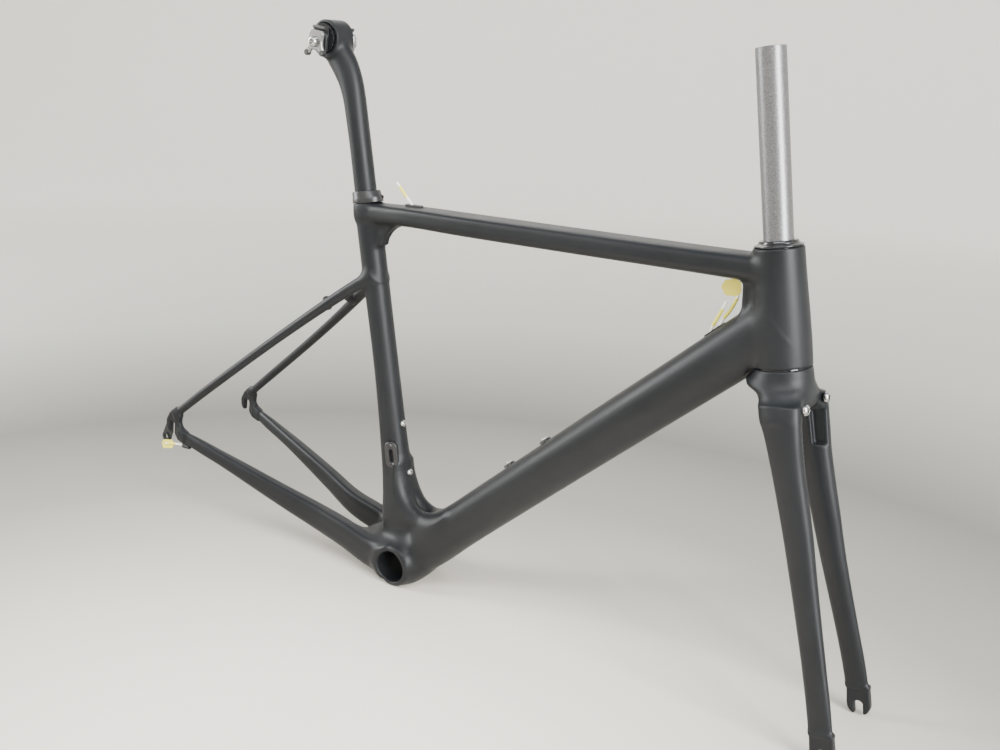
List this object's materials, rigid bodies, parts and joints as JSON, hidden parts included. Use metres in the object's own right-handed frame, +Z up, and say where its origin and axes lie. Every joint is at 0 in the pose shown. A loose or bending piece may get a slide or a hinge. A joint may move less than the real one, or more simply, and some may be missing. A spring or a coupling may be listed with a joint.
{
  "type": "road bicycle frameset",
  "caption": "Matte black monocoque road bicycle frame with its fork, uncut bare steerer, headset, seatpost and saddle clamp, standing on its bottom bracket and fork tips.",
  "frame": {"origin": "middle of the footprint, on the floor under the standing frameset", "axes": "+X towards the front of the bicycle, +Y to the rider's left, +Z up"},
  "size_m": [0.9988, 0.144, 0.6897],
  "materials": {
    "carbon": "matte black lacquer over a carbon fibre monocoque",
    "black_anodised": "satin black anodised",
    "silver_alloy": "bright forged alloy",
    "polished_steel": "polished steel fasteners and bearings",
    "gloss_black": "gloss black",
    "bare_steerer": "raw grey, unpainted, with fine handling streaks",
    "black_rubber": "dull black rubber",
    "white_nylon": "translucent white nylon tube"
  },
  "bodies": {
    "frame": {"head_tube": "carbon", "top_tube": "carbon", "down_tube": "carbon", "seat_tube": "carbon", "bb_shell": "carbon", "chainstay_left": "carbon", "chainstay_right": "carbon", "seatstay_left": "carbon", "seatstay_right": "carbon", "dropout_rear_left": "carbon", "dropout_rear_right": "carbon", "rear_brake_boss_left": "carbon", "rear_brake_boss_right": "carbon", "derailleur_hanger": "black_anodised", "hanger_screw": "polished_steel", "bottle_bolt_seat_1": "polished_steel", "bottle_bolt_seat_2": "polished_steel", "bottle_boss_down_1": "black_anodised", "bottle_boss_down_2": "black_anodised", "bottle_bolt_down_1": "polished_steel", "bottle_bolt_down_2": "polished_steel", "port_down_tube": "black_rubber", "port_top_tube": "black_rubber", "port_seat_tube": "black_rubber", "port_chainstay": "black_rubber", "front_derailleur_mount": "black_anodised", "mount_rivet_1": "polished_steel", "mount_rivet_2": "polished_steel", "seat_collar": "black_anodised", "seat_collar_bolt": "polished_steel", "headset_lower_bearing": "polished_steel", "headset_upper_bearing": "polished_steel", "liner_rear_brake": "white_nylon", "liner_shift_1": "white_nylon", "liner_shift_2": "white_nylon", "liner_derailleur": "white_nylon"},
    "fork": {"headset_crown_race": "polished_steel", "headset_wedge_ring": "polished_steel", "headset_cover": "gloss_black", "steerer": "bare_steerer", "fork_crown": "carbon", "fork_leg_left": "carbon", "fork_leg_right": "carbon", "fork_tip_left": "carbon", "fork_tip_right": "carbon", "fork_brake_bolt_left": "polished_steel", "fork_brake_bolt_right": "polished_steel"},
    "seatpost": {"seatpost": "carbon"},
    "saddle_clamp": {"clamp_drum": "black_anodised", "clamp_cradle_left": "black_anodised", "clamp_cradle_right": "black_anodised", "clamp_ear_left": "silver_alloy", "clamp_ear_right": "silver_alloy", "clamp_bolt": "polished_steel", "clamp_nut": "polished_steel"}
  },
  "joints": [
    {"name": "steering", "type": "hinge", "parent": "frame", "child": "fork", "pos_m": [0.38811, 0, 0.37181], "axis": [-0.1469, 0, 0.9891], "continuous": true},
    {"name": "seatpost_height", "type": "slide", "parent": "frame", "child": "seatpost", "axis": [-0.1521, 0, 0.9884], "range_m": [-0.09, 0.06]},
    {"name": "saddle_tilt", "type": "hinge", "parent": "seatpost", "child": "saddle_clamp", "pos_m": [-0.21145, 0, 0.66812], "axis": [0, 1, 0], "range_deg": [-15, 15]}
  ]
}
